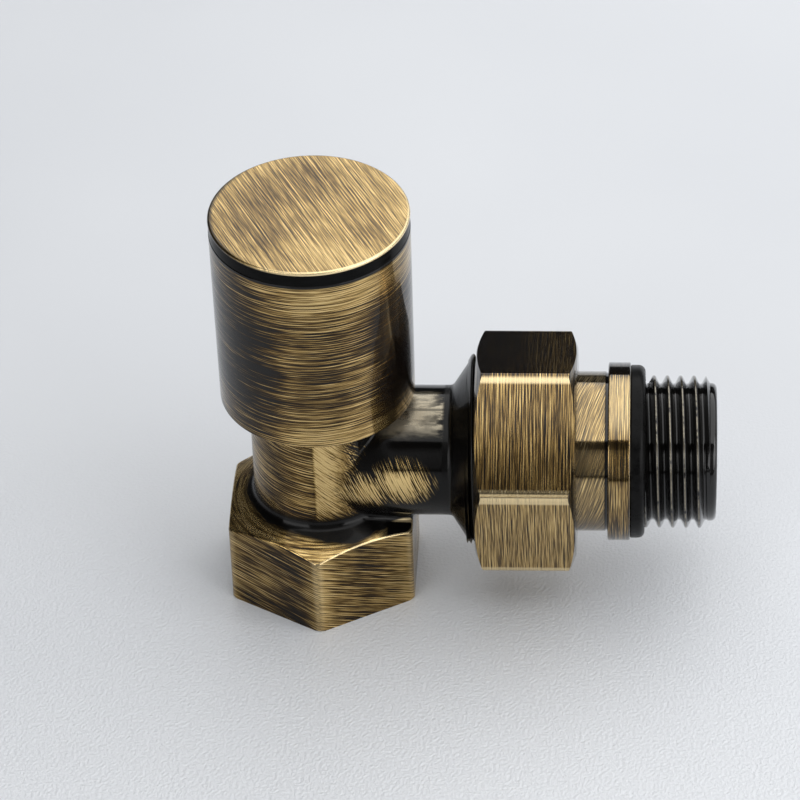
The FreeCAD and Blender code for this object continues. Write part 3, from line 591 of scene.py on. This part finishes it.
def bodyMarks(tree, place, streak):
    zones, amounts = bodyZones, bodyAmounts
    x, y, z = parts(tree, place)
    faceUp = facing(tree)[2]
    aside = farFrom(tree, y, aboveBranch(tree, z))
    around = farFrom(tree, x, y)

    # brush lines of the faces, the neck, the branch and the hexagon's top
    neckLines = brushLines(tree, place, bodyForm["neckScratches"])
    branchLines = brushLines(tree, place, bodyForm["branchScratches"])
    faceLines = brushLines(tree, place, bodyForm["rightFace"])
    rings = bodyForm["topRings"]
    arc = both(tree, calc(tree, "ARCTAN2", x, calc(tree, "MULTIPLY", y, -1.0)), rings["radius"])
    topLines = brushLines(tree, node(tree, "CombineXYZ", {0: around, 1: arc}).outputs[0], rings)
    hexLines = blend(tree, ease(tree, x, zones["rightFace"]), streak, faceLines)
    hexLines = blend(tree, ease(tree, faceUp, zones["topLines"]), hexLines, topLines)
    tubeLines = blend(tree, ease(tree, x, zones["neckLines"]), streak, neckLines)
    tubeLines = blend(tree, ease(tree, x, zones["branchLines"]), tubeLines, branchLines)
    lines = blend(tree, ease(tree, z, zones["hexLines"]), tubeLines, hexLines)

    # black on the branch and the flare, and in the root between neck and hexagon
    sway = bodyForm["wobble"]
    wobble = more(tree, sway["shift"], noise(tree, place, sway["scale"], 2.0, 0.6), sway["amount"])
    ragged = more(tree, calc(tree, "ADD", x, wobble), centred(tree, neckLines), sway["lines"])
    black = both(tree, ease(tree, ragged, zones["black"]), ease(tree, aside, zones["blackRadius"]))
    black = either(tree, black, ease(tree, x, zones["flare"]))
    edge = more(tree, around, wobble, sway["root"])
    edge = more(tree, edge, ease(tree, x, zones["rootRight"]), amounts["rootRight"])
    root = both(tree, ease(tree, edge, zones["root"]), ease(tree, z, zones["rootHeight"]))
    onHexagon = ease(tree, z, zones["hexagon"])
    hexTop = either(tree, ease(tree, faceUp, zones["upward"]), ease(tree, z, zones["topEdge"]))
    rightTop = both(tree, ease(tree, x, zones["rightTop"]), hexTop, onHexagon)
    black = either(tree, black, root, rightTop)

    # brass laid bare on the branch and the neck
    patch = either(tree, spot(tree, place, bodySpots["branch"]), spot(tree, place, bodySpots["crossing"]))
    bare = more(tree, patch, centred(tree, branchLines), amounts["bareLines"])
    bare = both(tree, ease(tree, bare, zones["bare"]), ease(tree, patch, zones["bareReach"]))
    neckPatch = both(tree, ease(tree, x, zones["neckLeft"]), ease(tree, ragged, zones["neckEnd"]),
                     ease(tree, z, zones["neckFoot"]))
    neckLift = more(tree, amounts["neck"], ease(tree, x, zones["neckFade"]), amounts["neckFade"])
    lift = more(tree, both(tree, bare, amounts["bare"]), neckPatch, neckLift)
    lift = more(tree, lift, spot(tree, place, bodySpots["core"]), amounts["core"])

    # the hexagon's faces, worn corners, and a painted highlight on the right part of its upper rim
    sideWall = ease(tree, faceUp, zones["sideWall"])
    faceLift = more(tree, amounts["rightFace"], ease(tree, x, zones["leftFace"]), amounts["leftFace"])
    hexLift = blend(tree, sideWall, amounts["hexTop"], faceLift)
    nearCorner = both(tree, ease(tree, around, zones["nearCorner"]), sideWall)
    hexLift = more(tree, hexLift, nearCorner, amounts["nearCorner"])
    lift = more(tree, lift, hexLift, onHexagon)
    taper = more(tree, around, z, amounts["cornerTaper"])
    corner = both(tree, ease(tree, taper, zones["corner"]), ease(tree, z, zones["cornerHeight"]))
    # painted highlight: pale metal on the rounded upper rim, right part only
    rim = both(tree, ease(tree, faceUp, zones["rimLow"]), ease(tree, faceUp, zones["rimHigh"]),
               ease(tree, z, zones["rimHeight"]), ease(tree, x, zones["rimRight"]))
    worn = either(tree, both(tree, corner, amounts["cornerWorn"]), both(tree, rim, amounts["rimWorn"]))

    # pale mirror-like skin, only on the band along the top of the branch where a lamp's reflection falls:
    # partly painted sheen
    onBranch = both(tree, ease(tree, x, zones["branchStart"]), ease(tree, x, zones["branchEnd"]))
    grainy = node(tree, "Mapping", {"Vector": place, "Scale": bodyForm["skin"]["stretch"]}).outputs[0]
    skin = noise(tree, grainy, 1.0, 3.0, 0.6)
    tilt = branchTilt(tree, y, z)
    fromSeam = calc(tree, "ABSOLUTE", calc(tree, "SUBTRACT", tilt, amounts["seamPlace"]))
    seamShade = more(tree, 1.0, ease(tree, fromSeam, zones["seam"]), amounts["seamShade"])
    tilt = more(tree, tilt, centred(tree, skin), bodyForm["skin"]["wander"])
    upper = both(tree, ease(tree, tilt, zones["paleFront"]), ease(tree, tilt, zones["paleBack"]), seamShade)
    blots = both(tree, ease(tree, skin, zones["blots"]), ease(tree, x, zones["blotStart"]))
    pale = both(tree, onBranch, upper, outside(tree, blots), ease(tree, skin, zones["paleSkin"]))

    return {"streak": lines, "lift": lift, "dark": both(tree, black, outside(tree, bare)), "worn": worn,
            "pale": pale, "spread": (onBranch, 0, outside(tree, onBranch))}


def makeBody(form):
    bm = cadCopy("valve_body")
    thread, lead, room = form["thread"], form["lead"], form["room"]
    for vert in bm.verts:  # leave room for the screw surface
        arm = branchArm(vert)
        if vert.co.x > room["start"] * mm and arm.length > room["outside"] * mm:
            setArm(vert, arm * (room["radius"] * mm / arm.length))

    def limit(x):  # the thread starts and ends with a slope
        begun = lead["radius"] + max(0.0, x - thread["start"]) * lead["slope"]
        return min(thread["crest"], begun, lead["endRadius"] + lead["endPlace"] - x)

    shell = threadShell(thread, limit)
    closeInside(shell, thread["inside"])
    addTo(bm, shell)
    placePiece(bm, "valveBody", "valve",
               brassFinish("bodyBrass", form["brush"], bodyMarks), ["valve_body"])


makeBody(bodyForm)

# union nut, brushed around its axis
nutForm = {
    "brush": {"turn": (0, 0, 0), "across": 0, "length": 8.0, "width": 0.1, "patchSize": 6.0,
              "patchAmount": 0.16, "contrast": 1.15, "gold": -0.02, "rough": 0.21, "spread": (1, 0, 0),
              "waves": 0.02, "coat": 1.4, "lacquer": 0.6},
    "topWay": (0, 0.276, 0.961),  # straight out of the face that looks up and back
    "zones": {"topFace": (33.9, 34.3), "endFace": (0.35, 0.7), "edge": (16.1, 16.3), "gloom": (23.0, 31.0),
              "lowFace": (-0.05, -0.2), "matte": (25.0, 33.0)},
    "amounts": {"gloom": -0.14, "gloomFade": 0.12, "lowFace": 0.09, "worn": 0.75, "endFace": 0.65,
                "matte": 0.1},
}


def nutMarks(tree, place, streak):
    zones, amounts = nutForm["zones"], nutForm["amounts"]
    x, y, z = parts(tree, place)
    away = farFrom(tree, y, aboveBranch(tree, z))
    way = facing(tree)
    endFace = ease(tree, calc(tree, "ABSOLUTE", way[0]), zones["endFace"])
    topFace = ease(tree, toward(tree, place, nutForm["topWay"]), zones["topFace"])
    # painted shade: the face that looks up and back darker, less so towards its right end
    gloom = more(tree, amounts["gloom"], ease(tree, x, zones["gloom"]), amounts["gloomFade"])
    # painted light: the faces that look down a little lighter
    lowFace = both(tree, ease(tree, way[2], zones["lowFace"]), amounts["lowFace"])
    edge = both(tree, ease(tree, away, zones["edge"]), outside(tree, either(tree, endFace, topFace)))
    matte = both(tree, topFace, both(tree, ease(tree, x, zones["matte"]), amounts["matte"]))
    return {"worn": both(tree, edge, amounts["worn"]), "dark": both(tree, endFace, amounts["endFace"]),
            "lift": more(tree, lowFace, topFace, gloom), "matte": matte}


placePiece(cadCopy("union_nut"), "unionNut", "nut",
           brassFinish("nutBrass", nutForm["brush"], nutMarks), ["union_nut"])

# tail: a turned core with its bore, the screw thread round it and two key lugs inside
tailForm = {
    "corners": ((9.0, 27.05, 0), (9.5, 27.55, 0), (9.5, 28.15, 0), (8.35, 28.15, 0), (8.35, 29.55, 0),
                (9.5, 29.55, 0), (9.5, 30.65, 0), (10.9, 30.65, 0.1), (10.9, 31.0, 0), (10.2, 31.4, 0.2),
                (10.2, 32.2, 0.2), (10.9, 32.6, 0), (10.9, 39.0, 0.06), (10.75, 39.0, 0), (10.75, 39.3, 0),
                (12.15, 39.3, 0.25), (12.15, 42.35, 0.25), (10.0, 42.35, 0), (10.0, 44.2, 0), (9.0, 44.35, 0),
                (9.0, 52.9, 0), (9.4, 53.05, 0), (9.4, 54.0, 0.68), (8.3, 54.0, 0.05), (7.9, 53.6, 0),
                (7.9, 43.05, 0), (9.0, 43.05, 0), (9.0, 30.65, 0), (7.4, 30.65, 0), (7.4, 27.05, 0)),
    "thread": {"pitch": 1.8143, "crest": 10.4, "root": 9.28, "rounding": 0.14, "crestPlace": 45.66,
               "start": 44.0, "end": 53.1, "inside": 8.6},
    "lead": {"radius": 10.0, "place": 44.35, "endRadius": 9.4, "endSlope": 1.67},
    "lug": {"size": (6.0, 2.6, 1.7), "place": 50.0, "offset": 7.45},
    "brush": {"turn": (0, 0, 0), "across": 0, "length": 7.0, "width": 0.1, "patchSize": 5.0,
              "patchAmount": 0.25, "contrast": 1.15, "gold": -0.01, "rough": 0.2, "spread": (1, 0, 0),
              "waves": 0.02, "coat": 1.55, "lacquer": 0.6},
    "slanted": {"turn": (0, 0, 0), "across": 0, "length": 6.0, "width": 0.1, "radius": 10.9, "slope": -0.3},
    "chips": {"scale": 0.9, "range": (0.32, 0.55), "amount": 0.75},
    "zones": {"thread": (42.2, 42.4), "crest": (10.37, 10.4), "grooveStart": (38.8, 39.0),
              "grooveEnd": (39.45, 39.3), "bore": (9.2, 9.0), "straight": (39.0, 39.2),
              "flange": (39.0, 39.3), "upperFront": (0.76, 1.05), "upperBack": (1.72, 1.52),
              "under": (0.1, -0.4), "underBack": (-2.8, -2.2), "behind": (1.6, 1.8), "behindEnd": (2.7, 2.2)},
    "amounts": {"under": -0.06, "behind": -0.2, "sleeve": 0.12, "flange": 0.28},
}


def tailMarks(tree, place, streak):
    zones, amounts = tailForm["zones"], tailForm["amounts"]
    slant, chipping = tailForm["slanted"], tailForm["chips"]
    x, y, z = parts(tree, place)
    height = aboveBranch(tree, z)
    away = farFrom(tree, y, height)
    tilt = branchTilt(tree, y, z)

    # slanted lines on the sleeve, straight ones on the flange
    arc = both(tree, calc(tree, "ARCTAN2", y, height), slant["radius"])
    wound = node(tree, "CombineXYZ", {0: more(tree, x, arc, slant["slope"]), 1: arc}).outputs[0]
    lines = blend(tree, ease(tree, x, zones["straight"]), brushLines(tree, wound, slant), streak)

    # black thread, groove and bore, with chipped crests that also carry a painted sheen
    onThread = ease(tree, x, zones["thread"])
    groove = both(tree, ease(tree, x, zones["grooveStart"]), ease(tree, x, zones["grooveEnd"]))
    dark = either(tree, onThread, groove, ease(tree, away, zones["bore"]))
    crest = both(tree, onThread, ease(tree, away, zones["crest"]))
    chips = ease(tree, noise(tree, place, chipping["scale"], 2.0, 0.6), chipping["range"])

    # the flange paler on its upper front as a painted highlight, the sleeve a little paler all round; painted
    # shade below and behind
    upper = both(tree, ease(tree, tilt, zones["upperFront"]), ease(tree, tilt, zones["upperBack"]))
    under = both(tree, ease(tree, tilt, zones["under"]), ease(tree, tilt, zones["underBack"]))
    behind = both(tree, ease(tree, tilt, zones["behind"]), ease(tree, tilt, zones["behindEnd"]))
    lift = more(tree, both(tree, under, amounts["under"]), behind, amounts["behind"])
    flangeShine = both(tree, upper, amounts["flange"])
    shine = blend(tree, ease(tree, x, zones["flange"]), amounts["sleeve"], flangeShine)

    return {"streak": lines, "dark": dark, "worn": both(tree, outside(tree, dark), shine), "lift": lift,
            "pale": both(tree, crest, both(tree, chips, chipping["amount"]))}


def makeTail(form):
    bm = turnedPiece(form["corners"], True, 160)
    thread, lead, lug = form["thread"], form["lead"], form["lug"]

    def limit(x):  # a plain start under the rubber ring and a slope at the mouth
        if x < lead["place"]:
            return lead["radius"]
        sloping = lead["endRadius"] + (thread["end"] - x) * lead["endSlope"]
        return min(thread["crest"], max(lead["endRadius"], sloping))

    shell = threadShell(thread, limit)
    closeInside(shell, thread["inside"])
    addTo(bm, shell)
    for side in (1, -1):
        centre = Vector((lug["place"], 0, branchAxis + side * lug["offset"])) * mm
        shape = Matrix.Diagonal((*(part * mm for part in lug["size"]), 1))
        bmesh.ops.create_cube(bm, size=1.0, matrix=Matrix.Translation(centre) @ shape)
    placePiece(bm, "tailPiece", "tail",
               brassFinish("tailBrass", form["brush"], tailMarks), ["tailpiece"])


makeTail(tailForm)

# rubber ring against the flange
gasketForm = {
    "corners": ((10.05, 42.35, 0.1), (11.8, 42.35, 0.2), (11.8, 44.35, 0.95), (10.05, 44.35, 0.2)),
    "look": {"lines": (900, 900, 900), "low": (0.003, 0.003, 0.003, 1), "high": (0.006, 0.006, 0.006, 1),
             "rough": 0.3, "depth": 0.008, "metal": 0.0, "specular": 0.08},
}
placePiece(turnedPiece(gasketForm["corners"], True, 144), "tailGasket", "tail",
           plainFinish("gasketRubber", gasketForm["look"]), ["tail_gasket"])

# inner pieces keep their CAD form and get machined brass, steel or rubber
innerLooks = {
    "plain_brass": {"lines": (300, 300, 2600), "low": (0.42, 0.29, 0.11, 1), "high": (0.62, 0.46, 0.2, 1),
                    "rough": 0.28, "depth": 0.01, "metal": 1.0, "specular": 0.5},
    "steel": {"lines": (300, 300, 2600), "low": (0.36, 0.36, 0.36, 1), "high": (0.55, 0.55, 0.54, 1),
              "rough": 0.3, "depth": 0.01, "metal": 1.0, "specular": 0.5},
    "black_rubber": {"lines": (900, 900, 900), "low": (0.008, 0.008, 0.008, 1),
                     "high": (0.016, 0.016, 0.016, 1), "rough": 0.5, "depth": 0.02, "metal": 0.0,
                     "specular": 0.4},
}
innerFinishes = {slot: plainFinish("inner_" + slot, look) for slot, look in innerLooks.items()}
for piece in frame["record"]["subparts"]:
    cad = frame["nodes"][piece["node"]]
    if not cad.hide_render:
        cad.data.materials.clear()
        cad.data.materials.append(innerFinishes[piece["material_slot"]])
print("inner pieces finished")
